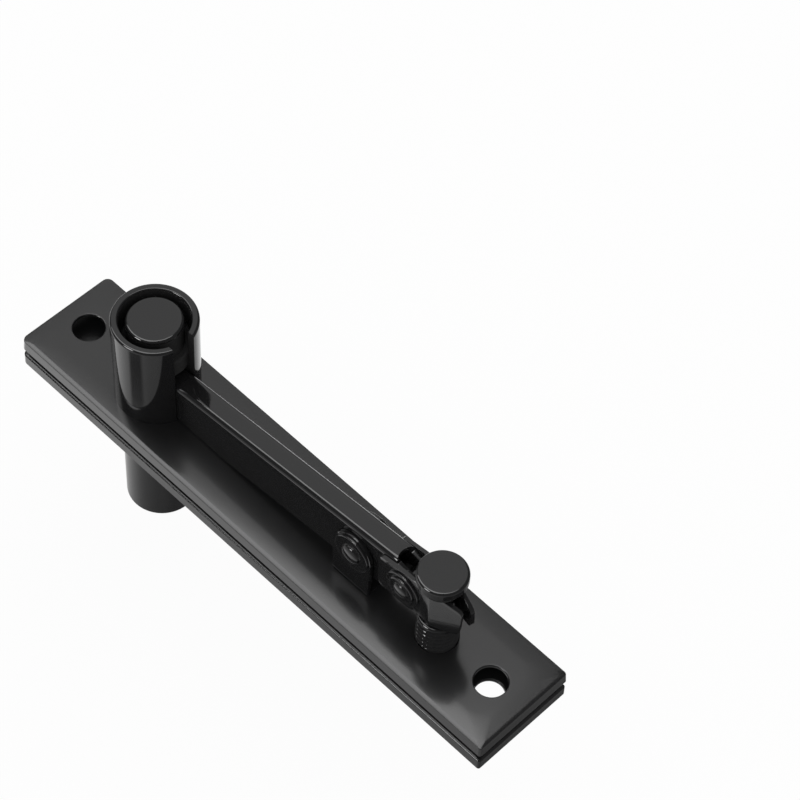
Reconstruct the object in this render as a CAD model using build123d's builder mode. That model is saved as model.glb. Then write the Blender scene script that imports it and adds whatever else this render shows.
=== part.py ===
from build123d import *

import os
from math import atan2, cos, hypot, pi, radians, sin, tan

# Retractable pivot hinge for a door, in millimetres.
# X runs along the plates from the pivot axis towards the adjusting screw, Z is up.
# The origin is on the pivot axis, on the underside of the door plate.

# Plates: one blank, used twice, with a running gap between the two
plate_length = 120.5
plate_width = 22.0
plate_thickness = 3.0
plate_gap = 1.3
plate_corner = 1.2
plate_edge = 0.35
pivot_inset = 26.3

# Screw holes, countersunk from the underside of each plate
frame_hole_dia = 6.2
door_hole_dia = 5.6
frame_sink_dia = 11.0
door_sink_dia = 10.4
sink_angle = 90
far_hole_inset = 8.2
frame_near_hole_inset = 7.0
door_near_hole_inset = 10.7

# Guide sleeve, turned with a spigot that is swaged into the frame plate
sleeve_dia = 16.3
sleeve_bore = 13.4
sleeve_height = 21.5
sleeve_edge = 0.3
sleeve_slot = 4.8
spigot_dia = 15.0

# Pivot pin, with a collar that slides in the sleeve
pin_dia = 9.9
pin_lift = 10.0
pin_top_drop = 0.2
pin_top_chamfer = 0.45
pin_tip_chamfer = 0.8
collar_height = 15.5
collar_chamfer = 0.3
cross_pin_dia = 3.0
cross_pin_end_gap = 0.35

# Socket under the door plate
tube_dia = 13.9
tube_drop = 24.8
tube_edge = 0.3
tube_spigot_dia = 12.9
bush_wall = 0.7
bush_depth = 9.0
bush_flange_dia = 17.0

# Lever, folded from sheet as an upturned channel
lever_sheet = 1.0
lever_width = 4.3
lever_bend = 0.6
lever_tilt = 6.3
lever_above = 6.8
lever_below = 4.9
lever_nose = 2.6
lever_nose_corner = 1.8
lever_end_radius = 3.1
lever_web_end = 10.4
lever_taper_start = 4.0
lever_slot_travel = 0.5

# Fulcrum bracket and its rivet
fulcrum_x = 54.5
fulcrum_height = 9.1
bracket_sheet = 0.85
bracket_bend = 0.8
bracket_radius = 4.5
fulcrum_rivet_dia = 4.0
fulcrum_head_dia = 7.0
fulcrum_head_height = 1.3

# Fork link between the lever and the screw
link_sheet = 0.85
link_rivet_x = 66.8
link_rivet_height = 11.7
link_rivet_dia = 3.6
link_head_dia = 5.7
link_head_height = 0.9
link_washer_dia = 7.6
link_washer_thickness = 0.35
link_back_x = 60.9
link_back_low = 6.7
link_back_high = 15.3
link_bridge_length = 2.8
link_bridge_edge_gap = 0.6
link_corner = 1.3
jaw_height = 9.0
jaw_spread = 0.4
jaw_reach = 6.6
jaw_tip_gap = 0.8
jaw_tip_drop = 1.3
jaw_tip_width = 0.75

# Adjusting screw, its thrust washer and its knob
screw_x = 72.8
screw_dia = 8.0
screw_pitch = 1.25
screw_shoulder_height = 7.3
screw_end_depth = 1.8
screw_end_chamfer = 0.6
screw_slot_width = 1.2
screw_slot_depth = 1.3
neck_dia = 4.4
thrust_washer_dia = 7.4
thrust_washer_thickness = 0.8
knob_dia = 9.1
knob_thickness = 2.2
knob_edge = 0.35
knob_boss_dia = 6.6
knob_boss_height = 0.9
knob_skin = 0.8

# Clearances
slide_gap = 0.05
side_gap = 0.1
slot_gap = 0.15
sweep_gap = 0.35
fork_gap = 0.12
relief_gap = 0.9

# Levels
door_top = plate_thickness
frame_bottom = door_top + plate_gap
frame_top = frame_bottom + plate_thickness

# Places along the plates
near_end_x = -pivot_inset
far_end_x = plate_length - pivot_inset
plate_middle_x = (near_end_x + far_end_x) / 2
far_hole_x = far_end_x - far_hole_inset
frame_near_hole_x = near_end_x + frame_near_hole_inset
door_near_hole_x = near_end_x + door_near_hole_inset

# Lever geometry: a line from the cross pin through the fulcrum
tilt = radians(lever_tilt)
fulcrum_z = frame_top + fulcrum_height
cross_pin_z = fulcrum_z - fulcrum_x * tan(tilt)
lever_arm_length = fulcrum_x / cos(tilt)
lever_along = Vector(cos(tilt), 0, sin(tilt))
lever_up = Vector(-sin(tilt), 0, cos(tilt))
lever_plane = Plane(origin=(fulcrum_x, 0, fulcrum_z), x_dir=lever_along, z_dir=(0, -1, 0))
lever_axis = Axis((fulcrum_x, 0, fulcrum_z), lever_along)
lever_up_axis = Axis((fulcrum_x, 0, fulcrum_z), lever_up)
link_rivet_z = frame_top + link_rivet_height
link_rivet_run = link_rivet_x - fulcrum_x
link_rivet_rise = link_rivet_height - fulcrum_height
link_rivet_u = link_rivet_run * cos(tilt) + link_rivet_rise * sin(tilt)
link_rivet_v = link_rivet_rise * cos(tilt) - link_rivet_run * sin(tilt)

# Motion: the pin's lift gives the lever's swing, the swing gives the screw's travel and turns
lever_swing = tilt - atan2(fulcrum_x * tan(tilt) - pin_lift, fulcrum_x)
link_arm_length = hypot(link_rivet_run, link_rivet_rise)
link_arm_angle = atan2(link_rivet_rise, link_rivet_run)
screw_travel = link_arm_length * (sin(link_arm_angle) - sin(link_arm_angle - lever_swing))
screw_turn = 2 * pi * screw_travel / screw_pitch

# Screw stack, from the shoulder up
shoulder_z = frame_top + screw_shoulder_height
jaw_bottom = shoulder_z + fork_gap
jaw_top = jaw_bottom + jaw_height
washer_bottom = jaw_top + fork_gap
knob_bottom = washer_bottom + thrust_washer_thickness
knob_top = knob_bottom + knob_boss_height + knob_thickness
screw_end_z = frame_top - screw_end_depth

# Collars and fits
collar_dia = sleeve_bore - 2 * slide_gap
guide_bore = pin_dia + 2 * slide_gap
collar_slot = sleeve_slot
tube_bore = guide_bore + 2 * bush_wall
pin_tip_z = frame_bottom - pin_lift + side_gap
pin_top_z = frame_top + sleeve_height - pin_top_drop
collar_slot_bottom = frame_top - relief_gap
collar_slot_top = cross_pin_z + lever_above + sin(tilt) * collar_dia / 2 + relief_gap
collar_slot_back = -(lever_nose + relief_gap)
cross_pin_length = collar_dia - 2 * cross_pin_end_gap
lever_slot_dia = cross_pin_dia + 2 * slot_gap
bracket_inside = lever_width + 2 * side_gap
bracket_width = bracket_inside + 2 * bracket_sheet
cheek_inside = lever_width / 2 + side_gap
cheek_outside = cheek_inside + link_sheet
jaw_inside = cheek_inside + jaw_spread
jaw_outside = jaw_inside + link_sheet
link_bore = link_rivet_dia + 2 * slide_gap
link_grip = 2 * (cheek_outside + side_gap / 2 + link_washer_thickness)
lever_fulcrum_bore = fulcrum_rivet_dia + 2 * slide_gap
plate_thread_bore = screw_dia + 2 * slide_gap

os.makedirs("parts", exist_ok=True)

with BuildSketch() as plate_outline:
    with Locations((plate_middle_x, 0)):
        RectangleRounded(plate_length, plate_width, plate_corner)

# Frame plate: screwed up into the head of the frame, it carries the mechanism
with BuildPart() as frame_plate:
    with BuildSketch(Plane.XY.offset(frame_bottom)):
        add(plate_outline.sketch)
    extrude(amount=plate_thickness)
    chamfer(frame_plate.edges().group_by(Axis.Z)[0] + frame_plate.edges().group_by(Axis.Z)[-1], plate_edge)
    with BuildSketch(Plane.XY.offset(frame_bottom)):
        Circle(spigot_dia / 2)
        with Locations((screw_x, 0)):
            Circle(plate_thread_bore / 2)
    extrude(amount=plate_thickness, mode=Mode.SUBTRACT)
    for hole_x in (frame_near_hole_x, far_hole_x):
        with Locations(Plane((hole_x, 0, frame_bottom), z_dir=(0, 0, -1))):
            CounterSinkHole(frame_hole_dia / 2, frame_sink_dia / 2, plate_thickness, sink_angle)

# Guide sleeve: open at the top, with a slot for the lever on the screw's side
with BuildPart() as guide_sleeve:
    with BuildSketch(Plane.XY.offset(frame_bottom)):
        Circle(spigot_dia / 2)
    extrude(amount=plate_thickness)
    with BuildSketch(Plane.XY.offset(frame_top)):
        Circle(sleeve_dia / 2)
    extrude(amount=sleeve_height)
    with BuildSketch(Plane.XY.offset(frame_top)):
        Circle(sleeve_bore / 2)
    extrude(amount=sleeve_height, mode=Mode.SUBTRACT)
    with BuildSketch(Plane.XY.offset(frame_bottom)):
        Circle(guide_bore / 2)
    extrude(amount=plate_thickness, mode=Mode.SUBTRACT)
    chamfer(guide_sleeve.faces().sort_by(Axis.Z)[-1].edges(), sleeve_edge)
    with BuildSketch(Plane.XY.offset(frame_top)):
        with Locations((sleeve_dia / 2, 0)):
            Rectangle(sleeve_dia, sleeve_slot)
    extrude(amount=sleeve_height, mode=Mode.SUBTRACT)

# Fulcrum bracket: a sheet channel with two round-topped ears, spot welded to the plate
with BuildPart() as fulcrum_bracket:
    with BuildSketch(Plane.XZ):
        with Locations((fulcrum_x, fulcrum_z)):
            Circle(bracket_radius)
        with Locations((fulcrum_x, (fulcrum_z + frame_top) / 2)):
            Rectangle(2 * bracket_radius, fulcrum_height)
    extrude(amount=bracket_width / 2, both=True)
    fillet(fulcrum_bracket.faces().sort_by(Axis.Z)[0].edges().filter_by(Axis.X), bracket_bend)
    with BuildSketch(Plane.XZ):
        with Locations((fulcrum_x, frame_top + bracket_sheet)):
            Rectangle(3 * bracket_radius, 3 * fulcrum_height, align=(Align.CENTER, Align.MIN))
    extrude(amount=bracket_inside / 2, both=True, mode=Mode.SUBTRACT)
    with BuildSketch(Plane.XZ):
        with Locations((fulcrum_x, fulcrum_z)):
            Circle(fulcrum_rivet_dia / 2)
    extrude(amount=bracket_width, both=True, mode=Mode.SUBTRACT)


def rivet_profile(shank_dia, grip, head_dia, head_height):
    """Half section of a rivet with two domed heads, its axis along the sketch's Y."""
    dome_radius = (head_height**2 + (head_dia / 2) ** 2) / (2 * head_height)
    with BuildSketch() as half_section:
        with BuildLine():
            l1 = Line((0, 0), (0, grip / 2 + head_height))
            l2 = RadiusArc(l1 @ 1, (head_dia / 2, grip / 2), dome_radius)
            l3 = Line(l2 @ 1, (shank_dia / 2, grip / 2))
            l4 = Line(l3 @ 1, (shank_dia / 2, 0))
            Line(l4 @ 1, l1 @ 0)
        make_face()
        mirror(about=Plane.XZ)
    return half_section.sketch


# Fulcrum rivet: fixed in the ears, the lever turns on its shank
with BuildPart() as fulcrum_rivet:
    with BuildSketch(Plane((fulcrum_x, 0, fulcrum_z), x_dir=(1, 0, 0), z_dir=(0, 0, 1))):
        add(rivet_profile(fulcrum_rivet_dia, bracket_width, fulcrum_head_dia, fulcrum_head_height))
    revolve(axis=Axis((fulcrum_x, 0, fulcrum_z), (0, 1, 0)))

# Pivot pin: guided by its collar in the sleeve and by its shank in the spigot and the bush
with BuildPart() as pivot_pin:
    with BuildSketch(Plane.XY.offset(pin_tip_z)):
        Circle(pin_dia / 2)
    extrude(amount=pin_top_z - pin_tip_z)
    chamfer(pivot_pin.edges().sort_by(Axis.Z)[0], pin_tip_chamfer)
    chamfer(pivot_pin.edges().sort_by(Axis.Z)[-1], pin_top_chamfer)
    with BuildSketch(Plane.XY.offset(frame_top)):
        Circle(collar_dia / 2)
    extrude(amount=collar_height)
    chamfer(pivot_pin.edges().filter_by(GeomType.CIRCLE).group_by(SortBy.RADIUS)[-1], collar_chamfer)
    with BuildSketch(Plane.XZ):
        with Locations((collar_slot_back, collar_slot_bottom)):
            Rectangle(collar_dia, collar_slot_top - collar_slot_bottom, align=(Align.MIN, Align.MIN))
    extrude(amount=collar_slot / 2, both=True, mode=Mode.SUBTRACT)
    with BuildSketch(Plane.XZ):
        with Locations((0, cross_pin_z)):
            Circle(cross_pin_dia / 2)
    extrude(amount=cross_pin_length / 2, both=True, mode=Mode.SUBTRACT)

# Cross pin: pressed through the collar, it carries the pin on the lever's nose
with BuildPart() as cross_pin:
    with BuildSketch(Plane.XZ):
        with Locations((0, cross_pin_z)):
            Circle(cross_pin_dia / 2)
    extrude(amount=cross_pin_length / 2, both=True)
    chamfer(cross_pin.edges().filter_by(GeomType.CIRCLE), collar_chamfer)

# Lever: the flanges reach past the web at the screw's end, and the nose enters the sleeve
nose_u = -(lever_arm_length + lever_nose)
link_end_u = link_rivet_u + lever_end_radius
with BuildPart() as lever_arm:
    with BuildSketch(lever_plane):
        Polygon(
            (nose_u, -lever_below),
            (lever_taper_start, -lever_below),
            (link_rivet_u, link_rivet_v - lever_end_radius),
            (link_rivet_u, link_rivet_v),
            (link_rivet_u + lever_end_radius * sin(pi / 4), link_rivet_v + lever_end_radius * cos(pi / 4)),
            (lever_web_end, lever_above),
            (nose_u, lever_above),
            align=None,
        )
        with Locations((link_rivet_u, link_rivet_v)):
            Circle(lever_end_radius)
    extrude(amount=lever_width / 2, both=True)
    with BuildSketch(Plane.XZ):
        with Locations((fulcrum_x, frame_top + sweep_gap)):
            Rectangle(2 * plate_length, plate_length, align=(Align.CENTER, Align.MAX))
    extrude(amount=lever_width, both=True, mode=Mode.SUBTRACT)
    fillet(lever_arm.edges().filter_by(Axis.Y).group_by(Axis.X)[0], lever_nose_corner)
    fillet(lever_arm.faces().sort_by(lever_up_axis)[-1].edges().filter_by(lever_axis), lever_bend)
    with BuildSketch(lever_plane):
        Polygon(
            (nose_u - lever_nose, -lever_above - lever_below),
            (link_end_u + lever_nose, -lever_above - lever_below),
            (link_end_u + lever_nose, 2 * lever_above),
            (lever_web_end, 2 * lever_above),
            (lever_web_end, lever_above - lever_sheet),
            (nose_u - lever_nose, lever_above - lever_sheet),
            align=None,
        )
    extrude(amount=lever_width / 2 - lever_sheet, both=True, mode=Mode.SUBTRACT)
    with BuildSketch(lever_plane):
        Circle(lever_fulcrum_bore / 2)
        with Locations((link_rivet_u, link_rivet_v)):
            Circle(link_rivet_dia / 2)
        with Locations((-lever_arm_length, 0)):
            SlotCenterToCenter(2 * lever_slot_travel, lever_slot_dia)
    extrude(amount=lever_width, both=True, mode=Mode.SUBTRACT)

# Fork link: one folded strip with two cheeks, a bridge below and two jaws round the screw's neck
jaw_start_x = screw_x + jaw_spread
jaw_tip_x = jaw_start_x + jaw_reach
cheek_end_x = screw_x - neck_dia / 2
bridge_end_x = screw_x - neck_dia / 2 - link_bridge_edge_gap
with BuildPart() as fork_link:
    with BuildSketch(Plane.XY.offset(frame_top)):
        Polygon(
            (link_back_x, cheek_outside),
            (link_back_x, cheek_inside),
            (cheek_end_x, cheek_inside),
            (jaw_start_x, jaw_inside),
            (jaw_tip_x - link_sheet / 2, jaw_tip_gap),
            (jaw_tip_x, jaw_tip_gap + jaw_tip_width),
            (jaw_start_x, jaw_outside),
            (cheek_end_x, cheek_outside),
            align=None,
        )
        mirror(about=Plane.XZ)
    extrude(amount=screw_shoulder_height + fork_gap + jaw_height)
    with BuildSketch(Plane.XZ) as link_side:
        Polygon(
            (link_back_x, frame_top + link_back_low),
            (link_back_x, frame_top + link_back_high),
            (link_rivet_x, jaw_top),
            (screw_x + neck_dia / 2, jaw_top),
            (jaw_tip_x, jaw_top - jaw_tip_drop),
            (jaw_tip_x, jaw_bottom + jaw_tip_drop),
            (screw_x + neck_dia, jaw_bottom),
            (screw_x - screw_dia / 2, jaw_bottom),
            (screw_x - screw_dia / 2 - link_sheet / 2, frame_top + link_back_low),
            align=None,
        )
        fillet(link_side.vertices().group_by(Axis.X)[0], link_corner / 2)
        fillet(link_side.vertices().group_by(Axis.X)[-1], link_corner)
    extrude(amount=plate_width, both=True, mode=Mode.INTERSECT)
    with BuildSketch(Plane.XY.offset(jaw_bottom)):
        with Locations((bridge_end_x - link_bridge_length / 2, 0)):
            Rectangle(link_bridge_length, 2 * cheek_outside)
    extrude(amount=link_sheet)
    with BuildSketch(Plane.XZ):
        with Locations((link_rivet_x, link_rivet_z)):
            Circle(link_bore / 2)
    extrude(amount=plate_width, both=True, mode=Mode.SUBTRACT)

# Link rivet and the washer under each of its heads
with BuildPart() as link_rivet:
    with BuildSketch(Plane((link_rivet_x, 0, link_rivet_z), x_dir=(1, 0, 0), z_dir=(0, 0, 1))):
        add(rivet_profile(link_rivet_dia, link_grip, link_head_dia, link_head_height))
    revolve(axis=Axis((link_rivet_x, 0, link_rivet_z), (0, 1, 0)))

with BuildPart() as link_washers:
    with BuildSketch(Plane.XZ.offset(cheek_outside + side_gap / 2)):
        with Locations((link_rivet_x, link_rivet_z)):
            Circle(link_washer_dia / 2)
            Circle(link_rivet_dia / 2, mode=Mode.SUBTRACT)
    extrude(amount=link_washer_thickness)
    mirror(about=Plane.XZ)

# Thrust washer: keeps the turning knob off the edges of the fork
with BuildPart() as thrust_washer:
    with BuildSketch(Plane.XY.offset(washer_bottom)):
        with Locations((screw_x, 0)):
            Circle(thrust_washer_dia / 2)
            Circle(neck_dia / 2 + slide_gap, mode=Mode.SUBTRACT)
    extrude(amount=thrust_washer_thickness)

# Adjusting screw: a threaded foot with a driver slot in its end, and a plain neck
with BuildPart() as adjusting_screw:
    with BuildSketch(Plane.XY.offset(screw_end_z)):
        with Locations((screw_x, 0)):
            Circle(screw_dia / 2)
    extrude(amount=shoulder_z - screw_end_z)
    chamfer(adjusting_screw.edges().sort_by(Axis.Z)[0], screw_end_chamfer)
    chamfer(adjusting_screw.edges().sort_by(Axis.Z)[-1], collar_chamfer)
    with BuildSketch(Plane.XY.offset(shoulder_z)):
        with Locations((screw_x, 0)):
            Circle(neck_dia / 2)
    extrude(amount=knob_top - knob_skin - shoulder_z)
    with BuildSketch(Plane.XY.offset(screw_end_z)):
        with Locations((screw_x, 0)):
            Rectangle(2 * screw_dia, screw_slot_width)
    extrude(amount=screw_slot_depth, mode=Mode.SUBTRACT)

# Knob: a plain disc with a boss, pressed on the neck
with BuildPart() as screw_knob:
    with BuildSketch(Plane.XY.offset(knob_bottom)):
        with Locations((screw_x, 0)):
            Circle(knob_boss_dia / 2)
    extrude(amount=knob_boss_height)
    with BuildSketch(Plane.XY.offset(knob_bottom + knob_boss_height)):
        with Locations((screw_x, 0)):
            Circle(knob_dia / 2)
    extrude(amount=knob_thickness)
    chamfer(screw_knob.edges().filter_by(GeomType.CIRCLE).group_by(SortBy.RADIUS)[-1], knob_edge)
    with BuildSketch(Plane.XY.offset(knob_bottom)):
        with Locations((screw_x, 0)):
            Circle(neck_dia / 2)
    extrude(amount=knob_top - knob_skin - knob_bottom, mode=Mode.SUBTRACT)

# Door plate: screwed to the top of the door, it carries the receiving tube
with BuildPart() as door_plate:
    with BuildSketch():
        add(plate_outline.sketch)
    extrude(amount=plate_thickness)
    chamfer(door_plate.edges().group_by(Axis.Z)[0] + door_plate.edges().group_by(Axis.Z)[-1], plate_edge)
    with BuildSketch():
        Circle(tube_spigot_dia / 2)
    extrude(amount=plate_thickness, mode=Mode.SUBTRACT)
    for hole_x in (door_near_hole_x, far_hole_x):
        with Locations(Plane((hole_x, 0, 0), z_dir=(0, 0, -1))):
            CounterSinkHole(door_hole_dia / 2, door_sink_dia / 2, plate_thickness, sink_angle)

# Receiving tube: its spigot is swaged into the door plate, flush with the plate's top
with BuildPart() as receiving_tube:
    with BuildSketch(Plane.XY.offset(-tube_drop)):
        Circle(tube_dia / 2)
    extrude(amount=tube_drop)
    with BuildSketch():
        Circle(tube_spigot_dia / 2)
    extrude(amount=plate_thickness)
    with BuildSketch(Plane.XY.offset(-tube_drop)):
        Circle(tube_bore / 2)
    extrude(amount=tube_drop + plate_thickness, mode=Mode.SUBTRACT)
    chamfer(receiving_tube.faces().sort_by(Axis.Z)[0].edges(), tube_edge)

# Flanged bush: lines the tube for the pin and spaces the two plates with its flange
with BuildPart() as tube_bush:
    with BuildSketch(Plane.XY.offset(-bush_depth)):
        Circle(tube_bore / 2)
    extrude(amount=bush_depth + plate_thickness)
    with BuildSketch(Plane.XY.offset(door_top)):
        Circle(bush_flange_dia / 2)
    extrude(amount=plate_gap)
    with BuildSketch(Plane.XY.offset(-bush_depth)):
        Circle(guide_bore / 2)
    extrude(amount=bush_depth + frame_bottom, mode=Mode.SUBTRACT)

pieces = {
    "frame_plate": frame_plate,
    "guide_sleeve": guide_sleeve,
    "fulcrum_bracket": fulcrum_bracket,
    "fulcrum_rivet": fulcrum_rivet,
    "pivot_pin": pivot_pin,
    "cross_pin": cross_pin,
    "lever_arm": lever_arm,
    "fork_link": fork_link,
    "link_rivet": link_rivet,
    "link_washers": link_washers,
    "thrust_washer": thrust_washer,
    "adjusting_screw": adjusting_screw,
    "screw_knob": screw_knob,
    "door_plate": door_plate,
    "receiving_tube": receiving_tube,
    "tube_bush": tube_bush,
}
for name, piece in pieces.items():
    piece.part.label = name
    export_step(piece.part, f"parts/{name}.step")

print("fulcrum", fulcrum_x, fulcrum_z, "link rivet", link_rivet_x, link_rivet_z)
print("lever swing, rad", lever_swing, "screw travel, mm", screw_travel, "screw turn, rad", screw_turn)
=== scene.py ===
"""A retractable pivot hinge in gloss black paint, on white, seen from above its front corner.

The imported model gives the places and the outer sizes. What it leaves open is named here, in millimetres.
Each piece is made as the real one is: turned, stamped or folded from sheet.
"""
from math import ceil, cos, pi, radians, sin, sqrt, tan

import bmesh
import bpy
from mathutils import Matrix, Vector


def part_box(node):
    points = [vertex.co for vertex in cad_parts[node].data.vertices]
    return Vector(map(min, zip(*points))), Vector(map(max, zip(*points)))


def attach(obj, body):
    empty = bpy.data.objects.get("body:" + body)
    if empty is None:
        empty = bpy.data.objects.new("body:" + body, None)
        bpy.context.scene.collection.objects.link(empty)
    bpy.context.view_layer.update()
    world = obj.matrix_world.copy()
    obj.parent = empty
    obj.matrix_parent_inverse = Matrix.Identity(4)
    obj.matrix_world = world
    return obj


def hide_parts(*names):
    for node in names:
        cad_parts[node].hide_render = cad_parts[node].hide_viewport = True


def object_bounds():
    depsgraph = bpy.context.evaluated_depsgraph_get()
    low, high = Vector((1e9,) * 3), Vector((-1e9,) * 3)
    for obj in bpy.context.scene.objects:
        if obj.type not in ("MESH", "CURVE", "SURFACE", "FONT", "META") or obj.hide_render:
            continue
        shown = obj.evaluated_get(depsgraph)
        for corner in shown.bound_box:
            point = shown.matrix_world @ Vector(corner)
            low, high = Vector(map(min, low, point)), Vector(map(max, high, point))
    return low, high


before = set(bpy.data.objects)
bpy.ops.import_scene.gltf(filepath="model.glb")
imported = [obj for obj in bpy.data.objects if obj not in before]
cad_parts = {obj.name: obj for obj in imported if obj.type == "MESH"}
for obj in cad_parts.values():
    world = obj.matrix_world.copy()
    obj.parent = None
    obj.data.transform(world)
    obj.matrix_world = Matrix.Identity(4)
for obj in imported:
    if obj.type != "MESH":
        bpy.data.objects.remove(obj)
cad_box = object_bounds()
MM = 0.001

# The photograph's view, in the part's own frame, in metres
CAMERA_PLACE = Vector((0.23425, -0.19528, 0.43270))
CAMERA_AIM = Vector((0.03807, 0.02485, 0.01857))
CAMERA_ROLL = radians(4.06)
LENS = 126.44
SENSOR = 36.0

# The studio below the horizon: the greys of its cards, by direction in degrees from east towards north.
# Each card is dimmed at its foot and brightened at its head
CARDS = [
    (-179.9, 0.8), (-160, 0.82), (-140, 0.76), (-127, 0.68), (-117, 0.6), (-101, 0.53),
    (-81, 0.46), (-60, 0.38), (-40, 0.36), (-10, 0.24), (20, 0.2), (56, 0.22),
    (80, 0.5), (98, 0.8), (140, 0.9), (179.9, 0.8),
]
CARD_FOOT = 0.5
CARD_HEAD = 1.8
STRIP_DARKNESS = 0.9

# The studio above the horizon: a dim ceiling, a glow on the far side, a softbox and a small lamp in front
CEILING = 0.16
GLOW = 0.78
GLOW_WAY = (-0.386, 0.433, 0.815)
SOFTBOX = 3.8
LAMP = 14.0
LAMP_WAY = (-0.2, -0.853, 0.482)

# The floor
FLOOR_REACH = 3000.0
FLOOR_DROP = 12.0
FLOOR_GREY = 0.85
FLOOR_GLOW = 0.93

# Stamped plates: the top rolls off towards the edge, as a punched blank does
ROLL_WIDTH = 4.2
ROLL_SLOPE = 3.5
LIP_WIDTH = 1.0
LIP_SLOPE = 18.0
PLATE_EDGE = 0.16
PLATE_EDGE_RADIUS = 0.8 * PLATE_EDGE
PLATE_FOOT = 0.35
PLATE_CORNER = 1.2
TRIMMED_CORNER = 0.45
CORNER_GROWTH = 0.8
FRAME_DRAFT = 0.12
DOOR_DRAFT = 0.03

# Screw holes
FRAME_HOLE = 6.2
FRAME_SINK = 11.0
DOOR_HOLE = 5.6
DOOR_SINK = 10.4
HOLE_RIM = 0.25
FAR_HOLE_INSET = 8.2
FRAME_NEAR_INSET = 7.0
DOOR_NEAR_INSET = 10.7

# Sleeve, pin and tube
SLEEVE_BORE = 13.4
SLEEVE_SLOT = 4.8
SLEEVE_RIM = 0.5
BORE_RIM = 0.3
SPIGOT = 15.0
GUIDE_BORE = 10.0
PIN = 9.9
PIN_HEAD = 10.7
PIN_RIM = 0.6
PIN_TIP = 0.8
COLLAR_CLEARANCE = 0.05
COLLAR_HEIGHT = 15.5
COLLAR_EDGE = 0.3
COLLAR_SLOT_BACK = -3.5
COLLAR_SLOT_LOW = 6.4
COLLAR_SLOT_HIGH = 19.13
TUBE_BORE = 11.4
TUBE_SPIGOT = 12.9
TUBE_RIM = 0.4
PAINTED_SKIN = 0.05

# Lever, folded from sheet
LEVER_TILT = radians(6.3)
LEVER_SHEET = 1.0
LEVER_BEND = 1.0
LEVER_ABOVE = 6.3
LEVER_BELOW = 4.9
LEVER_WIDENING = 0.12
LEVER_NOSE = 2.6
NOSE_CORNER = 1.8
WEB_END = 10.4
WEB_SCOOP = 0.9
SCOOP_START = 0.9
TAPER_START = 4.0
TAPER_ROUND = 6.0
LEVER_END = 3.1
LEVER_END_ROUND = 0.98 * LEVER_END
LEVER_END_HEIGHT = 0.75 * LEVER_END
LEVER_END_CORNER = 1.2
LEVER_GAP = 0.35
LEVER_SLOT = 3.3
SLOT_TRAVEL = 0.5

# Bracket and fork link, folded from sheet
SHEET_EDGE = 0.12
BRACKET_SHEET = 0.78
BRACKET_BEND = 0.8
EAR_SPLAY = 0.6
LINK_SHEET = 0.78
LINK_BACK_LOW = 6.7
LINK_BACK_HIGH = 15.3
LINK_CORNER = 0.65
LINK_BACK_RUN = 0.7
LINK_TOP_ROUND = 3.0
NECK_ROUND = 2.0
JAW_SPREAD = 0.4
JAW_LEAN = tan(radians(3.5))
JAW_HEIGHT = 9.0
JAW_FOLD = 1.5
JAW_FOLD_BACK = 1.2
JAW_STEP = 0.4
JAW_BELLY = 1.5
JAW_BELLY_RISE = 0.3
JAW_BELLY_ROUND = 4.0
NEAR_JAW_SHORTER = 0.8
NEAR_TIP_RISE = 1.2
FAR_TIP_RISE = 1.9
TIP_CHIN = 0.5
TIP_CHIN_ROUND = 1.2
TIP_BEVEL = 1.3
TIP_BEVEL_ROUND = 0.9
TIP_OUTSIDE = 1.5
BRIDGE_LENGTH = 2.8
BRIDGE_GAP = 0.6
BRIDGE_INSET = 0.1

# Rivets and washers, by radius
FULCRUM_SHANK = 2.0
FULCRUM_FLANGE = 4.1
FULCRUM_BUTTON = 2.1
LINK_SHANK = 1.8
LINK_BUTTON = 1.6
RUNNING_FIT = 0.05
FLANGE_SHARE = 0.4
FLANGE_ROUND = 0.22
BUTTON_FOOT = 0.12
DOME_SPAN = radians(84)
DOME_FULLNESS = 0.8
WASHER = 0.4
WASHER_ROUND = 0.2
WASHER_BACK_ROUND = 0.05

# Screw and knob
SCREW = 8.0
PITCH = 1.25
THREAD_DEPTH = 0.68
THREAD_CREST = 0.125
THREAD_FLANK = 0.625
THREAD_CLEARANCE = 0.05
THREAD_ROWS = 12
THREAD_STEPS = 72
RUNOUT_START = 1.0
RUNOUT = 0.5
NECK = 4.4
SHOULDER_ROUND = 0.6
SHOULDER_HEIGHT = 7.3
SCREW_END_CHAMFER = 0.6
SCREW_SLOT = 1.2
SCREW_SLOT_DEPTH = 1.3
KNOB_RIM = 0.5
KNOB_EDGE = 0.1
KNOB_FOOT = 0.15
KNOB_BOSS = 6.6
KNOB_BOSS_HEIGHT = 1.2
KNOB_WIDENING = 0.12

# Meshes: cutters go past the faces they cut, and a short flat beside each arc keeps the next face even
OVER = 1.0
THROUGH = 10.0
ARC_STEP = radians(9)
FLAT = 0.04
BORE_STEPS = 48
SHARP = radians(42)
BEVELLED = radians(50)
WELD = 0.0005
TOUCH = 0.0001


class Sock:
    """A shader value that can be added, subtracted, multiplied and divided like a number."""

    def __init__(self, maker, socket):
        self.maker = maker
        self.socket = socket

    def _math(self, operation, *values):
        return self.maker.node("ShaderNodeMath", {"operation": operation}, *values)

    def __add__(self, other):
        return self._math("ADD", self, other)

    def __radd__(self, other):
        return self._math("ADD", other, self)

    def __sub__(self, other):
        return self._math("SUBTRACT", self, other)

    def __rsub__(self, other):
        return self._math("SUBTRACT", other, self)

    def __mul__(self, other):
        return self._math("MULTIPLY", self, other)

    def __rmul__(self, other):
        return self._math("MULTIPLY", other, self)

    def __truediv__(self, other):
        return self._math("DIVIDE", self, other)


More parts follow.
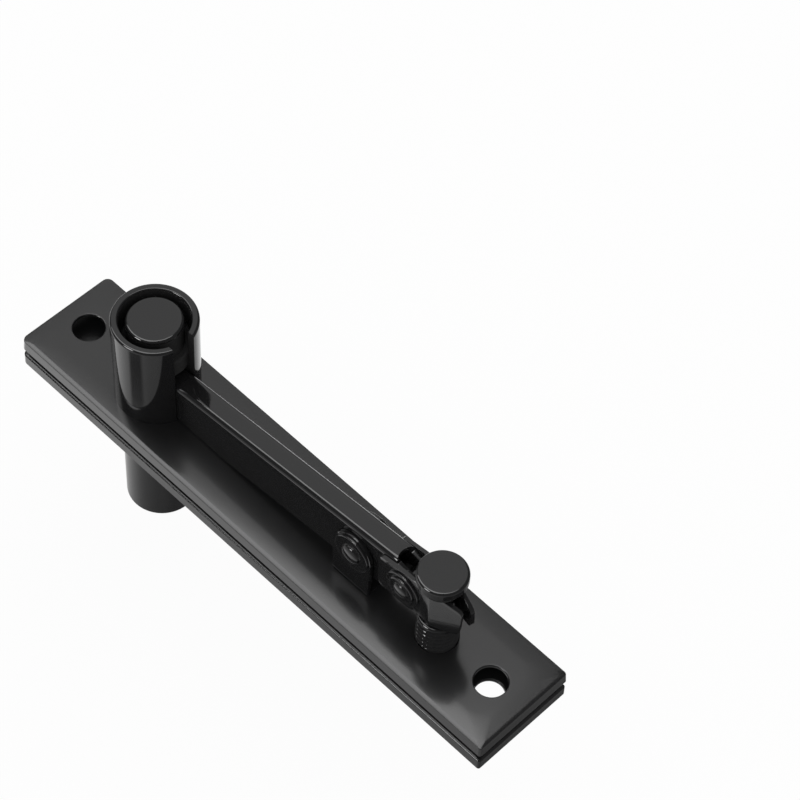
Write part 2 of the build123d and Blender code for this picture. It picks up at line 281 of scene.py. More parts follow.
class Nodes:
    """A node tree under construction, of a material or of the world."""

    def __init__(self, owner):
        owner.use_nodes = True
        self.owner = owner
        self.tree = owner.node_tree
        self.tree.nodes.clear()

    def node(self, kind, settings=None, *values, out=0, **named):
        """Adds a node: its settings first, then the values or links of its sockets."""
        made = self.tree.nodes.new(kind)
        for key, setting in (settings or {}).items():
            if key == "stops":
                ramp = made.color_ramp.elements
                while len(ramp) < len(setting):
                    ramp.new(0.5)
                for stop, (place, grey) in zip(ramp, setting):
                    stop.position = place
                    stop.color = (grey, grey, grey, 1.0)
            else:
                setattr(made, key, setting)
        pairs = list(enumerate(values)) + [(key.replace("_", " "), value) for key, value in named.items()]
        for key, value in pairs:
            if isinstance(value, Sock):
                self.tree.links.new(value.socket, made.inputs[key])
            else:
                made.inputs[key].default_value = value
        return Sock(self, made.outputs[out])

    def surface(self, shader, kind="ShaderNodeOutputMaterial"):
        end = self.tree.nodes.new(kind)
        self.tree.links.new(shader.socket, end.inputs["Surface"])
        return self.owner

    def rise(self, value, start, end):
        """0 before start and 1 after end, smooth between, in either order."""
        smooth = {"interpolation_type": "SMOOTHSTEP"}
        return self.node("ShaderNodeMapRange", smooth, value, start, end, 0.0, 1.0)

    def towards(self, way, direction):
        """How nearly way points towards a direction: the cosine of the angle between them."""
        return self.node("ShaderNodeVectorMath", {"operation": "DOT_PRODUCT"}, way, direction, out="Value")

    def noise(self, scale, detail):
        """Fine unevenness that keeps its place on the piece."""
        place = self.node("ShaderNodeTexCoord", out="Object")
        return self.node("ShaderNodeTexNoise", None, place, Scale=scale, Detail=detail, out="Fac")


def black_paint(name, mirror, smoothness, haze):
    """Stoved gloss paint over steel: near black, faintly uneven, with a bloom of haze on the plates."""
    paint = Nodes(bpy.data.materials.new(name))
    dust = paint.noise(160.0, 4.0)
    flow = paint.noise(230.0, 1.0)
    bump = paint.node("ShaderNodeBump", Strength=1.0, Distance=0.000004, Height=flow, out="Normal")
    shader = paint.node(
        "ShaderNodeBsdfPrincipled",
        Base_Color=(0.008, 0.008, 0.0083, 1.0),
        Roughness=smoothness + 0.03 * dust,
        IOR=1.5,
        Specular_IOR_Level=mirror,
        Coat_Weight=haze,
        Coat_Roughness=0.32,
        Coat_IOR=1.5,
        Normal=bump,
    )
    return paint.surface(shader)


def oiled_bore():
    """Unpainted dark steel with a film of oil: the sleeve's bore, the pin's sides and the screw's neck."""
    oil = Nodes(bpy.data.materials.new("oiled_dark_bore"))
    shader = oil.node(
        "ShaderNodeBsdfPrincipled",
        Base_Color=(0.02, 0.02, 0.02, 1.0),
        Roughness=0.5 + 0.12 * oil.noise(900.0, 2.0),
        Specular_IOR_Level=0.05,
    )
    return oil.surface(shader)


def turned_metal(name, colour, roughness):
    """Bare turned metal for the pieces inside."""
    metal = Nodes(bpy.data.materials.new(name))
    shader = metal.node(
        "ShaderNodeBsdfPrincipled",
        Base_Color=(*colour, 1.0),
        Metallic=1.0,
        Roughness=roughness + 0.1 * metal.noise(700.0, 2.0),
    )
    return metal.surface(shader)


def white_ground():
    """Pale floor that reads white to the camera and keeps a trace of shadow."""
    ground = Nodes(bpy.data.materials.new("white_ground"))
    seen = ground.node("ShaderNodeLightPath", out="Is Camera Ray")
    matt = ground.node("ShaderNodeBsdfDiffuse", None, (FLOOR_GREY, FLOOR_GREY, FLOOR_GREY, 1.0))
    glow = ground.node("ShaderNodeEmission", None, (1.0, 1.0, 1.0, 1.0), 1.0)
    return ground.surface(ground.node("ShaderNodeMixShader", None, FLOOR_GLOW * seen, matt, glow))


def studio_world():
    """Even white light, with the studio's cards, softbox and lamp in what the gloss mirrors."""
    studio = Nodes(bpy.data.worlds.new("white_studio"))
    way = studio.node("ShaderNodeTexCoord", out="Generated")
    east, north, up = (studio.node("ShaderNodeSeparateXYZ", None, way, out=axis) for axis in "XYZ")
    compass = studio.node("ShaderNodeMath", {"operation": "ARCTAN2"}, north, east) / (2 * pi) + 0.5

    def at(degrees):
        return degrees / 360 + 0.5

    # The cards are brightest in a band 45 to 50 degrees down, and a dark strip crosses the near ones below it
    cards = studio.node("ShaderNodeValToRGB", {"stops": [(at(turn), grey) for turn, grey in CARDS]}, compass)
    lift = studio.node("ShaderNodeMapRange", None, up, -0.85, -0.765, CARD_FOOT, CARD_HEAD)
    lift = lift * (1 - 0.5 * studio.rise(up, -0.7, -0.5))
    strip = (
        studio.rise(compass, at(-119), at(-108))
        * studio.rise(compass, at(-73), at(-86))
        * studio.rise(up, -0.82, -0.8135)
        * studio.rise(up, -0.796, -0.802)
    )
    below = cards * lift * (1 - STRIP_DARKNESS * strip)

    # The glow is cut off towards the east, and each side of the softbox is a soft edge
    glow = studio.rise(studio.towards(way, GLOW_WAY), 0.62, 0.95) * studio.rise(east, -0.21, -0.33)
    softbox = (
        studio.rise(north, 0.388, 0.36)
        * studio.rise(north - 1.2 * east, 0.77, 0.724)
        * studio.rise(north, -0.34, -0.26)
        * studio.rise(east, 0.06, -0.02)
        * studio.rise(up, 0.4, 0.5)
    )
    lamp = studio.rise(studio.towards(way, LAMP_WAY), 0.978, 0.988)
    above = CEILING + GLOW * glow + SOFTBOX * softbox + LAMP * lamp

    height = studio.rise(up, -0.03, 0.03)
    mirrored_light = below * (1 - height) + above * height
    glossy = studio.node("ShaderNodeLightPath", out="Is Glossy Ray")
    strength = 1 - glossy + glossy * mirrored_light
    light = studio.node("ShaderNodeBackground", None, (1.0, 1.0, 1.0, 1.0), strength)
    bpy.context.scene.world = studio.surface(light, "ShaderNodeOutputWorld")


def photograph_camera():
    lens = bpy.data.cameras.new("photograph")
    lens.lens = LENS
    lens.sensor_width = SENSOR
    lens.clip_start = 0.01
    camera = bpy.data.objects.new("photograph", lens)
    turn = (CAMERA_AIM - CAMERA_PLACE).to_track_quat("-Z", "Y").to_matrix().to_4x4()
    camera.matrix_world = Matrix.Translation(CAMERA_PLACE) @ turn @ Matrix.Rotation(CAMERA_ROLL, 4, "Z")
    bpy.context.scene.collection.objects.link(camera)
    bpy.context.scene.camera = camera


def mm_box(node):
    """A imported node's lowest and highest corners, in millimetres."""
    low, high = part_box(node)
    return Vector(low) / MM, Vector(high) / MM


def middle(node):
    """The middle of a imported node's box, on the hinge's plane of symmetry."""
    low, high = mm_box(node)
    return Vector(((low.x + high.x) / 2, 0, (low.z + high.z) / 2))


def clamped(value):
    return min(max(value, 0), 1)


def spread(start, end, count, ends=False):
    """Even places from start to end, or closer together towards both ends."""
    shares = [step / count for step in range(count + 1)]
    if ends:
        shares = [(1 - cos(pi * share)) / 2 for share in shares]
    return [start + (end - start) * share for share in shares]


def quarter(x, y, across, up):
    """Points of a quarter round that leaves (x, y) upright and ends level, across and up from there."""
    return [(x + across * (1 - cos(turn)), y + up * sin(turn)) for turn in spread(0, pi / 2, 6)]


def mirrored(side):
    """The other half of a symmetric cross section, in reverse order."""
    return [(-y, z) for y, z in reversed(side)]


def eased(corners, closed=False):
    """Points of an outline whose corners, given as (x, y, radius), are turned into arcs."""
    points = []
    count = len(corners)
    for index, (x, y, radius) in enumerate(corners):
        here = Vector((x, y))
        if radius == 0 or (not closed and index in (0, count - 1)):
            points.append(here)
            continue
        before = (Vector(corners[index - 1][:2]) - here).normalized()
        after = (Vector(corners[(index + 1) % count][:2]) - here).normalized()
        half = before.angle(after) / 2
        centre = here + (before + after).normalized() * radius / sin(half)
        start = here + before * radius / tan(half) - centre
        turn = pi - 2 * half
        sense = 1 if before.cross(after) < 0 else -1
        steps = max(2, ceil(turn / ARC_STEP))
        points.append(centre + start + before * FLAT)
        for step in range(steps + 1):
            points.append(centre + Matrix.Rotation(sense * turn * step / steps, 2) @ start)
        points.append(points[-1] + after * FLAT)
    return points


def outline_limits(outline, x):
    """Lowest and highest point of a closed outline at x."""
    heights = []
    for (x0, y0), (x1, y1) in zip(outline, outline[1:] + outline[:1]):
        if not min(x0, x1) - TOUCH <= x <= max(x0, x1) + TOUCH:
            continue
        if abs(x1 - x0) > TOUCH:
            heights.append(y0 + clamped((x - x0) / (x1 - x0)) * (y1 - y0))
        else:
            heights += [y0, y1]
    return min(heights), max(heights)


def new_piece(name, points, faces):
    """An object from points in millimetres, welded, with its faces turned outwards."""
    mesh = bpy.data.meshes.new(name)
    mesh.from_pydata([MM * Vector(point) for point in points], [], faces)
    shape = bmesh.new()
    shape.from_mesh(mesh)
    bmesh.ops.remove_doubles(shape, verts=shape.verts, dist=WELD * MM)
    bmesh.ops.dissolve_degenerate(shape, edges=shape.edges, dist=WELD * MM)
    bmesh.ops.recalc_face_normals(shape, faces=shape.faces)
    shape.to_mesh(mesh)
    shape.free()
    piece = bpy.data.objects.new(name, mesh)
    bpy.context.scene.collection.objects.link(piece)
    return piece


def skinned(name, loops, capped=True, ring=False):
    """A skin over loops of as many points each: capped, open at both ends, or closed into a ring."""
    points = [point for loop in loops for point in loop]
    wide = len(loops[0])
    faces = []
    for row in range(len(loops) if ring else len(loops) - 1):
        here, there = row * wide, (row + 1) % len(loops) * wide
        for step in range(wide):
            after = (step + 1) % wide
            faces.append((here + step, here + after, there + after, there + step))
    if capped:
        faces.append(tuple(range(wide)))
        faces.append(tuple(range(len(points) - 1, len(points) - wide - 1, -1)))
    return new_piece(name, points, faces)


def turned(name, profile, place=(0, 0, 0), along="Z", ring=False, steps=96):
    """A turned piece: its half profile, as (radius, height) points, swept round an axis through place."""
    loops = []
    for radius, height in profile:
        loop = []
        for step in range(steps):
            angle = 2 * pi * step / steps
            across, aside = radius * cos(angle), radius * sin(angle)
            offset = (across, aside, height) if along == "Z" else (across, height, -aside)
            loop.append(Vector(place) + Vector(offset))
        loops.append(loop)
    return skinned(name, loops, capped=False, ring=ring)


def slab(name, outline, start, end, along="Y"):
    """An outline pushed from start to end: an XZ outline along Y, or an XY outline along Z."""
    loops = []
    for level in (start, end):
        loops.append([(x, level, y) if along == "Y" else (x, y, level) for x, y in outline])
    return skinned(name, loops)


def block(name, low, high):
    outline = [(low[0], low[1]), (high[0], low[1]), (high[0], high[1]), (low[0], high[1])]
    return slab(name, outline, low[2], high[2], along="Z")


def folded(name, sheets, thickness):
    """Sheet metal: grids of points on its outer side, given its thickness and softened edges."""
    points, faces = [], []
    for grid in sheets:
        base, wide = len(points), len(grid[0])
        for row in grid:
            points += row
        for row in range(len(grid) - 1):
            for column in range(wide - 1):
                corner = base + row * wide + column
                faces.append((corner, corner + 1, corner + wide + 1, corner + wide))
    piece = new_piece(name, points, faces)
    skin = piece.modifiers.new("sheet", "SOLIDIFY")
    skin.thickness = thickness * MM
    skin.offset = -1
    skin.use_even_offset = True
    soften = piece.modifiers.new("edge", "BEVEL")
    soften.width = SHEET_EDGE * MM
    soften.segments = 3
    soften.limit_method = "ANGLE"
    soften.angle_limit = BEVELLED
    return settled(piece)


def settled(piece):
    """The piece with its modifiers made into mesh."""
    bpy.context.view_layer.update()
    mesh = bpy.data.meshes.new_from_object(piece.evaluated_get(bpy.context.evaluated_depsgraph_get()))
    piece.modifiers.clear()
    piece.data = mesh
    return piece


def cut(piece, *cutters):
    """Takes the cutters out of the piece."""
    for cutter in cutters:
        saw = piece.modifiers.new("cut", "BOOLEAN")
        saw.operation = "DIFFERENCE"
        saw.solver = "EXACT"
        saw.object = cutter
    settled(piece)
    for cutter in cutters:
        bpy.data.objects.remove(cutter)


def drill(radius, low, high, x=0.0):
    """A cutter for an upright round hole, from under low to over high."""
    profile = [(0, low - OVER), (radius, low - OVER), (radius, high + OVER), (0, high + OVER)]
    return turned("drill", profile, (x, 0, 0))


def screw_hole(x, low, high, hole, sink):
    """A cutter for a hole with a soft rim on top and a countersink below."""
    bore, wide = hole / 2, sink / 2
    foot = [(0, low - OVER), (wide + OVER, low - OVER), (bore, low + wide - bore)]
    rim = quarter(bore, high - HOLE_RIM, HOLE_RIM, HOLE_RIM)
    return turned("hole", foot + rim + [(bore + HOLE_RIM, high + OVER), (0, high + OVER)], (x, 0, 0))


def side_bore(place, radius, travel=0.0):
    """A cutter from side to side for a round hole, or for a slot that runs travel each way from place."""
    outline = []
    for step in range(BORE_STEPS):
        turn = 2 * pi * step / BORE_STEPS
        shift = travel if cos(turn) > 0 else -travel
        outline.append((place.x + radius * cos(turn) + shift, place.z + radius * sin(turn)))
    return slab("bore", outline, -THROUGH, THROUGH)


def slit(start, end, width, low, high):
    """A cutter for a slot along the hinge, between two places and two heights."""
    return block("slit", (start, -width / 2, low), (end, width / 2, high))


PAINT = black_paint("gloss_black_paint", 0.5, 0.055, 0.0)
PLATE_PAINT = black_paint("plate_black_paint", 0.36, 0.135, 0.36)
OILED = oiled_bore()
STEEL = turned_metal("turned_steel", (0.56, 0.56, 0.57), 0.25)
BRONZE = turned_metal("sintered_bronze", (0.50, 0.34, 0.17), 0.35)
SOLID_FINISHES = {"cross_pin": STEEL, "tube_bush": BRONZE, "thrust_washer": OILED}
for name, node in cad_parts.items():
    node.data.materials.clear()
    node.data.materials.append(SOLID_FINISHES.get(name, PAINT))

TOP = mm_box("frame_plate")[1].z
SCREW_X = middle("adjusting_screw").x
FULCRUM = middle("fulcrum_rivet")
LINK = middle("link_rivet")


def fit(piece, body, node, finish=None):
    """Smooths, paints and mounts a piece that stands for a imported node."""
    piece.data.shade_smooth()
    piece.data.set_sharp_from_angle(angle=SHARP)
    even = piece.modifiers.new("flats", "WEIGHTED_NORMAL")
    even.keep_sharp = True
    if not piece.data.materials:
        piece.data.materials.append(finish or PAINT)
    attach(piece, body)
    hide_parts(node)


def bore_finish(piece, radius, low, high):
    """Oiled steel on the faces nearer to the pivot axis than radius, between two heights."""
    piece.data.materials.append(PAINT)
    piece.data.materials.append(OILED)
    for face in piece.data.polygons:
        centre = face.center / MM
        if Vector((centre.x, centre.y)).length < radius and low < centre.z < high:
            face.material_index = 1


def stamped_plate(name, low, high, draft):
    """A punched blank: rolled-off top, softened edges, sides that lean by the draft."""
    roll, z, before = [], high.z, ROLL_WIDTH
    for inset in spread(ROLL_WIDTH, LIP_WIDTH, 6) + spread(LIP_WIDTH, PLATE_EDGE, 8)[1:]:
        slope = ROLL_SLOPE * (ROLL_WIDTH - max(inset, LIP_WIDTH)) / (ROLL_WIDTH - LIP_WIDTH)
        slope += LIP_SLOPE * max(LIP_WIDTH - inset, 0) / (LIP_WIDTH - PLATE_EDGE)
        z -= (before - inset) * tan(radians(slope))
        before = inset
        roll.append((inset, z))
    side = eased(
        [
            (PLATE_EDGE, z, 0),
            (draft, z - PLATE_EDGE, PLATE_EDGE_RADIUS),
            (0, low.z, PLATE_FOOT),
            (2 * PLATE_FOOT, low.z, 0),
        ]
    )
    corners = [
        (low.x, low.y, PLATE_CORNER),
        (high.x, low.y, TRIMMED_CORNER),
        (high.x, high.y, TRIMMED_CORNER),
        (low.x, high.y, PLATE_CORNER),
    ]
    loops = []
    for inset, level in roll[:-1] + [tuple(point) for point in side]:
        moved = []
        for x, y, radius in corners:
            across = inset if x == low.x else -inset
            aside = inset if y == low.y else -inset
            moved.append((x + across, y + aside, radius + CORNER_GROWTH * inset))
        loops.append([(x, y, level) for x, y in eased(moved, closed=True)])
    return skinned(name, loops)


def make_plate(node, body, draft, near_inset, hole, sink, *seats):
    """A plate with two countersunk screw holes and the seats of what it carries."""
    low, high = mm_box(node)
    plate = stamped_plate(f"{node}_stamping", low, high, draft)
    places = (low.x + near_inset, high.x - FAR_HOLE_INSET)
    holes = [screw_hole(x, low.z, high.z, hole, sink) for x in places]
    drills = [drill(radius, low.z, high.z, x) for radius, x in seats]
    cut(plate, *holes, *drills)
    fit(plate, body, node, finish=PLATE_PAINT)


def make_plates():
    sleeve_seat = (SPIGOT / 2, 0)
    thread = (SCREW / 2 + THREAD_CLEARANCE, SCREW_X)
    tube_seat = (TUBE_SPIGOT / 2, 0)
    make_plate(
        "frame_plate", "frame", FRAME_DRAFT, FRAME_NEAR_INSET, FRAME_HOLE, FRAME_SINK, sleeve_seat, thread
    )
    make_plate("door_plate", "door", DOOR_DRAFT, DOOR_NEAR_INSET, DOOR_HOLE, DOOR_SINK, tube_seat)


def make_sleeve():
    low, high = mm_box("guide_sleeve")
    profile = eased(
        [
            (GUIDE_BORE / 2, low.z, 0),
            (SPIGOT / 2, low.z, 0),
            (SPIGOT / 2, TOP, 0),
            (high.y, TOP, 0),
            (high.y, high.z, SLEEVE_RIM),
            (SLEEVE_BORE / 2, high.z, BORE_RIM),
            (SLEEVE_BORE / 2, TOP, 0),
            (GUIDE_BORE / 2, TOP, 0),
        ],
        closed=True,
    )
    sleeve = turned("guide_sleeve_turning", profile, ring=True, steps=144)
    cut(sleeve, slit(0, 2 * high.y, SLEEVE_SLOT, TOP, high.z + OVER))
    bore_finish(sleeve, high.y - PAINTED_SKIN, low.z - OVER, high.z - BORE_RIM)
    fit(sleeve, "frame", "guide_sleeve")


def make_pin():
    low, high = mm_box("pivot_pin")
    shank, collar = PIN / 2, SLEEVE_BORE / 2 - COLLAR_CLEARANCE
    collar_top = TOP + COLLAR_HEIGHT
    profile = eased(
        [
            (0, low.z, 0),
            (shank - PIN_TIP, low.z, 0),
            (shank, low.z + PIN_TIP, 0),
            (shank, TOP, 0),
            (collar - COLLAR_EDGE, TOP, 0),
            (collar, TOP + COLLAR_EDGE, 0),
            (collar, collar_top - COLLAR_EDGE, 0),
            (collar - COLLAR_EDGE, collar_top, 0),
            (PIN_HEAD / 2, collar_top, 0),
            (PIN_HEAD / 2, high.z, PIN_RIM),
            (0, high.z, 0),
        ]
    )
    pin = turned("pivot_pin_turning", profile)
    cross_low, cross_high = mm_box("cross_pin")
    cut(
        pin,
        slit(COLLAR_SLOT_BACK, THROUGH, SLEEVE_SLOT, COLLAR_SLOT_LOW, COLLAR_SLOT_HIGH),
        side_bore(middle("cross_pin"), (cross_high.z - cross_low.z) / 2),
    )
    bore_finish(pin, THROUGH, low.z - OVER, high.z - PIN_RIM)
    fit(pin, "pin", "pivot_pin")


def make_tube():
    low, high = mm_box("receiving_tube")
    door_foot = mm_box("door_plate")[0].z
    profile = eased(
        [
            (TUBE_BORE / 2, low.z, TUBE_RIM),
            (high.y, low.z, TUBE_RIM),
            (high.y, door_foot, 0),
            (TUBE_SPIGOT / 2, door_foot, 0),
            (TUBE_SPIGOT / 2, high.z, 0),
            (TUBE_BORE / 2, high.z, 0),
        ],
        closed=True,
    )
    fit(turned("receiving_tube_turning", profile, ring=True), "door", "receiving_tube")


def lever_point(along, up, aside):
    """A point of the lever, measured from the fulcrum along and across its web."""
    return Vector(
        (
            FULCRUM.x + along * cos(LEVER_TILT) - up * sin(LEVER_TILT),
            aside,
            FULCRUM.z + along * sin(LEVER_TILT) + up * cos(LEVER_TILT),
        )
    )


def lever_flange(nose, shoulder, link_along, link_up):
    """Outline of the lever's side, along and up from the fulcrum, with its foot level over the plate."""
    clear = TOP + LEVER_GAP - FULCRUM.z
    nose_foot = (clear - nose * sin(LEVER_TILT)) / cos(LEVER_TILT)
    foot_end = (clear + LEVER_BELOW * cos(LEVER_TILT)) / sin(LEVER_TILT)
    outline = eased(
        [
            (nose, nose_foot, NOSE_CORNER),
            (foot_end, -LEVER_BELOW, 0),
            (TAPER_START, -LEVER_BELOW, TAPER_ROUND),
            (link_along, link_up - LEVER_END, 0),
            (link_along + LEVER_END, link_up - LEVER_END, LEVER_END_ROUND),
            (link_along + LEVER_END, link_up + LEVER_END_HEIGHT, LEVER_END_CORNER),
            (WEB_END, shoulder, 0),
            (nose, shoulder, NOSE_CORNER),
        ],
        closed=True,
    )
    return [tuple(point) for point in outline]


def make_lever():
    half = mm_box("lever_arm")[1].y + LEVER_WIDENING
    shoulder = LEVER_ABOVE - LEVER_BEND
    nose = -(FULCRUM.x / cos(LEVER_TILT) + LEVER_NOSE)
    run, rise = LINK.x - FULCRUM.x, LINK.z - FULCRUM.z
    link_along = run * cos(LEVER_TILT) + rise * sin(LEVER_TILT)
    link_up = rise * cos(LEVER_TILT) - run * sin(LEVER_TILT)
    flange = lever_flange(nose, shoulder, link_along, link_up)

    # The folded part, in rows across the lever, lower at the round nose and scooped out at its end
    bend = quarter(half, shoulder, -LEVER_BEND, LEVER_BEND)
    web = [(y, LEVER_ABOVE) for y in spread(half - LEVER_BEND, LEVER_BEND - half, 8)]
    crown = bend + web[1:-1] + mirrored(bend)
    first = nose + NOSE_CORNER
    rows = []
    for along in spread(nose, first, 8, ends=True)[:-1] + spread(first, WEB_END, 40):
        bottom, top = outline_limits(flange, along)
        drop = shoulder - top
        side = [(half, up) for up in spread(bottom, top, 6)[:-1]]
        share = (along - first) / (WEB_END - first)
        scooped = WEB_SCOOP * max(share - SCOOP_START, 0) / (1 - SCOOP_START)
        row = side + [(y, up - drop) for y, up in crown] + mirrored(side)
        rows.append([lever_point(along - scooped * (1 - (y / half) ** 2), up, y) for y, up in row])

    # Past the web's end only the two flanges go on, to the link rivet
    sheets = [rows]
    for sign in (1, -1):
        tail = []
        for along in spread(WEB_END, link_along + LEVER_END, 16, ends=True):
            column = [lever_point(along, up, sign * half) for up in spread(*outline_limits(flange, along), 6)]
            tail.append(column[::sign])
        sheets.append(tail)
    lever = folded("lever_folding", sheets, LEVER_SHEET)
    cut(
        lever,
        side_bore(FULCRUM, FULCRUM_SHANK + RUNNING_FIT),
        side_bore(LINK, LINK_SHANK),
        side_bore(middle("cross_pin"), LEVER_SLOT / 2, SLOT_TRAVEL),
    )
    fit(lever, "lever", "lever_arm")


def make_bracket():
    low, high = mm_box("fulcrum_bracket")
    radius = (high.x - low.x) / 2
    foot = low.z + BRACKET_BEND
    rows = []
    for turn in spread(-pi / 2, pi / 2, 24):
        ear = [(high.y, z) for z in spread(FULCRUM.z + radius * cos(turn), foot, 8)]
        side = ear + quarter(high.y, foot, -BRACKET_BEND, -BRACKET_BEND)[1:]
        splayed = [(y + EAR_SPLAY * (high.z - z) / (high.z - low.z), z) for y, z in side]
        row = splayed + [(0, low.z)] + mirrored(splayed)
        rows.append([Vector((FULCRUM.x + radius * sin(turn), y, z)) for y, z in row])
    bracket = folded("fulcrum_bracket_folding", [rows], BRACKET_SHEET)
    cut(bracket, side_bore(FULCRUM, FULCRUM_SHANK))
    fit(bracket, "frame", "fulcrum_bracket")


def link_side(low, high, tip, rise):
    """Outline of one side of the fork link, cheek and jaw, seen square on."""
    jaw_low = high.z - JAW_HEIGHT
    thread_back = SCREW_X - SCREW / 2
    outline = eased(
        [
            (low.x, TOP + LINK_BACK_LOW, LINK_CORNER),
            (thread_back - JAW_STEP, TOP + LINK_BACK_LOW, 0),
            (thread_back, jaw_low, 0),
            (SCREW_X + JAW_BELLY, jaw_low + JAW_BELLY_RISE, JAW_BELLY_ROUND),
            (tip - TIP_CHIN, jaw_low + rise, TIP_CHIN_ROUND),
            (tip, jaw_low + rise + TIP_BEVEL, TIP_BEVEL_ROUND),
            (tip, high.z - TIP_BEVEL, TIP_BEVEL),
            (SCREW_X + NECK / 2, high.z, NECK_ROUND),
            (LINK.x, high.z, LINK_TOP_ROUND),
            (low.x, TOP + LINK_BACK_HIGH, LINK_CORNER),
        ],
        closed=True,
    )
    return [tuple(point) for point in outline]


def make_link():
    low, high = mm_box("fork_link")
    cheek = high.y - JAW_SPREAD
    neck_x = SCREW_X - NECK / 2
    jaw_x = SCREW_X + JAW_SPREAD
    jaw_low = high.z - JAW_HEIGHT
    path = eased(
        [
            (low.x, cheek, 0),
            (neck_x, cheek, JAW_FOLD),
            (jaw_x, cheek + JAW_SPREAD, JAW_FOLD_BACK),
            (high.x, TIP_OUTSIDE, 0),
        ]
    )

    def aside(x):
        """How far the sheet's outer side is from the middle, at x."""
        for before, after in zip(path, path[1:]):
            if before.x <= x <= after.x:
                return before.y + (after.y - before.y) * (x - before.x) / (after.x - before.x)
        return path[-1].y

    sheets = []
    for sign, tip, rise in ((1, high.x, FAR_TIP_RISE), (-1, high.x - NEAR_JAW_SHORTER, NEAR_TIP_RISE)):
        side = link_side(low, high, tip, rise)
        back, fold_start = low.x + LINK_BACK_RUN, neck_x - JAW_FOLD_BACK
        fold_end, tip_start = jaw_x + JAW_FOLD_BACK, tip - TIP_BEVEL
        stations = (
            spread(low.x, back, 5, ends=True)[:-1]
            + spread(back, fold_start, 8)[:-1]
            + spread(fold_start, fold_end, 20)[:-1]
            + spread(fold_end, tip_start, 8)[:-1]
            + spread(tip_start, tip, 8, ends=True)
        )
        grid = []
        for x in stations:
            lean = JAW_LEAN * clamped((x - neck_x) / (jaw_x - neck_x))
            heights = spread(*outline_limits(side, x), 10)
            column = [Vector((x, sign * (aside(x) - lean * (z - jaw_low)), z)) for z in heights]
            grid.append(column[::sign])
        sheets.append(grid)
    link = folded("fork_link_folding", sheets, LINK_SHEET)
    cut(link, side_bore(LINK, LINK_SHANK + RUNNING_FIT))
    fit(link, "link", "fork_link")
    bridge_end = neck_x - BRIDGE_GAP
    bridge = block(
        "fork_link_bridge",
        (bridge_end - BRIDGE_LENGTH, BRIDGE_INSET - cheek, jaw_low),
        (bridge_end, cheek - BRIDGE_INSET, jaw_low + LINK_SHEET),
    )
    fit(bridge, "link", "fork_link")


def make_rivet(node, body, shank, grip, flange, button):
    """A rivet from side to side: on each end a thin flange with a button pressed up in its middle."""
    height = mm_box(node)[1].y - grip
    step = FLANGE_SHARE * height
    dome = [
        (button * sin(turn), grip + step + (height - step) * cos(turn) ** DOME_FULLNESS)
        for turn in spread(0, DOME_SPAN, 12)
    ]
    foot = [
        (*dome[-1], 0),
        (button, grip + step, BUTTON_FOOT),
        (flange, grip + step, FLANGE_ROUND),
        (flange, grip, 0),
        (shank, grip, 0),
    ]
    head = dome + eased(foot)[1:]
    profile = head + [(radius, -y) for radius, y in reversed(head)]
    fit(turned(f"{node}_head", profile, middle(node), along="Y"), body, node)


def make_rivets():
    """The two rivets, and a washer under each head of the link rivet."""
    bracket_side = mm_box("fulcrum_bracket")[1].y
    low, high = mm_box("link_washers")
    link_low, link_high = mm_box("link_rivet")
    link_flange = (link_high.x - link_low.x) / 2
    make_rivet("fulcrum_rivet", "frame", FULCRUM_SHANK, bracket_side, FULCRUM_FLANGE, FULCRUM_BUTTON)
    make_rivet("link_rivet", "lever", LINK_SHANK, high.y, link_flange, LINK_BUTTON)
    inside, outer = high.y - WASHER, (high.x - low.x) / 2
    profile = eased(
        [
            (LINK_SHANK, inside, 0),
            (outer, inside, WASHER_BACK_ROUND),
            (outer, high.y, WASHER_ROUND),
            (LINK_SHANK, high.y, 0),
        ],
        closed=True,
    )
    for side, sign in (("near", -1), ("far", 1)):
        placed = [(radius, sign * y) for radius, y in profile]
        washer = turned(f"link_washer_{side}", placed, LINK, along="Y", ring=True)
        fit(washer, "lever", "link_washers")


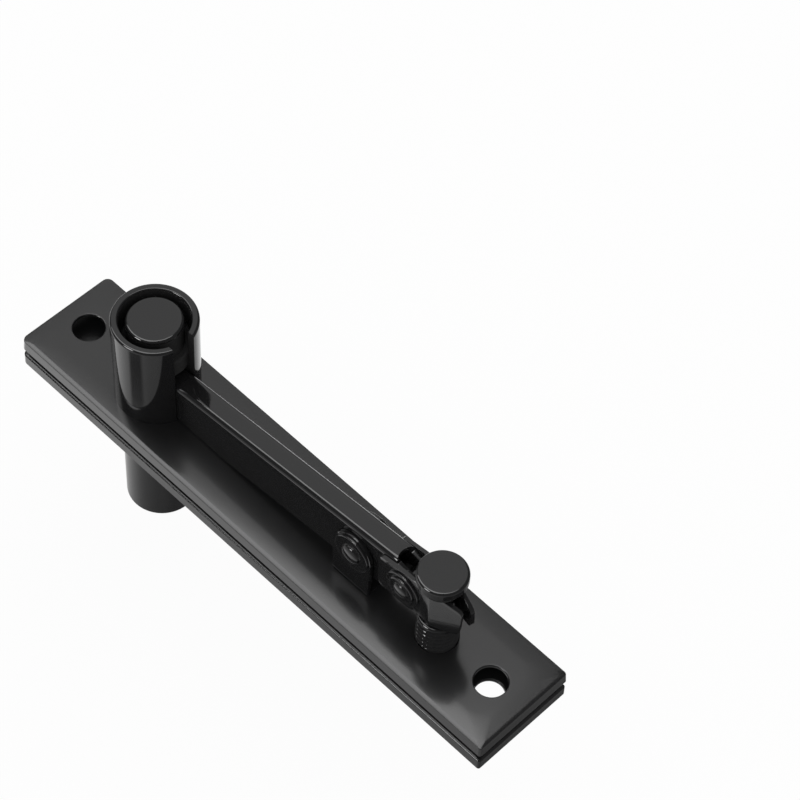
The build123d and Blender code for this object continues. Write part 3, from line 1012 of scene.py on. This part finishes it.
def thread_radius(z, share, low, shoulder):
    """The screw's radius at a height and a share of a turn: cut by the thread, chamfered, rounded on top."""
    crest = SCREW / 2
    wave = clamped((abs(2 * ((z / PITCH - share) % 1) - 1) - THREAD_CREST) / THREAD_FLANK)
    runout = clamped((z - (shoulder - RUNOUT_START)) / RUNOUT)
    chamfer = crest - SCREW_END_CHAMFER + (z - low)
    fall = clamped(1 - (shoulder - z) / SHOULDER_ROUND)
    rounding = crest - SHOULDER_ROUND * (1 - sqrt(1 - fall**2))
    return min(crest - THREAD_DEPTH * wave * (1 - runout), chamfer, rounding)


def make_screw():
    low, high = mm_box("adjusting_screw")
    shoulder = TOP + SHOULDER_HEIGHT
    loops = []
    for z in spread(low.z, shoulder, round((shoulder - low.z) / PITCH * THREAD_ROWS)):
        loop = []
        for share in spread(0, 1, THREAD_STEPS)[:-1]:
            radius = thread_radius(z, share, low.z, shoulder)
            loop.append((SCREW_X + radius * cos(2 * pi * share), radius * sin(2 * pi * share), z))
        loops.append(loop)
    thread = skinned("adjusting_screw_thread", loops)
    cut(thread, slit(SCREW_X - SCREW, SCREW_X + SCREW, SCREW_SLOT, low.z - OVER, low.z + SCREW_SLOT_DEPTH))
    fit(thread, "screw", "adjusting_screw")
    profile = [(0, shoulder), (NECK / 2, shoulder), (NECK / 2, high.z), (0, high.z)]
    neck = turned("adjusting_screw_neck", profile, (SCREW_X, 0, 0), steps=64)
    fit(neck, "screw", "adjusting_screw", finish=OILED)


def make_knob():
    low, high = mm_box("screw_knob")
    radius = (high.x - low.x) / 2 + KNOB_WIDENING
    disc_low = low.z + KNOB_BOSS_HEIGHT
    profile = eased(
        [
            (0, low.z, 0),
            (KNOB_BOSS / 2, low.z, KNOB_FOOT),
            (KNOB_BOSS / 2, disc_low, KNOB_EDGE),
            (radius, disc_low, KNOB_EDGE),
            (radius, high.z, KNOB_RIM),
            (0, high.z, 0),
        ]
    )
    fit(turned("screw_knob_turning", profile, (SCREW_X, 0, 0), steps=128), "screw", "screw_knob")


def make_floor():
    level = cad_box[0][2] / MM - FLOOR_DROP
    corners = [(x * FLOOR_REACH, y * FLOOR_REACH, level) for x, y in ((-1, -1), (1, -1), (1, 1), (-1, 1))]
    floor = new_piece("floor", corners, [(0, 1, 2, 3)])
    floor.visible_glossy = False
    floor.data.materials.append(white_ground())


make_plates()
make_sleeve()
make_pin()
make_tube()
make_lever()
make_bracket()
make_link()
make_rivets()
make_screw()
make_knob()
make_floor()

studio_world()
photograph_camera()
bpy.context.scene.view_settings.view_transform = "Standard"
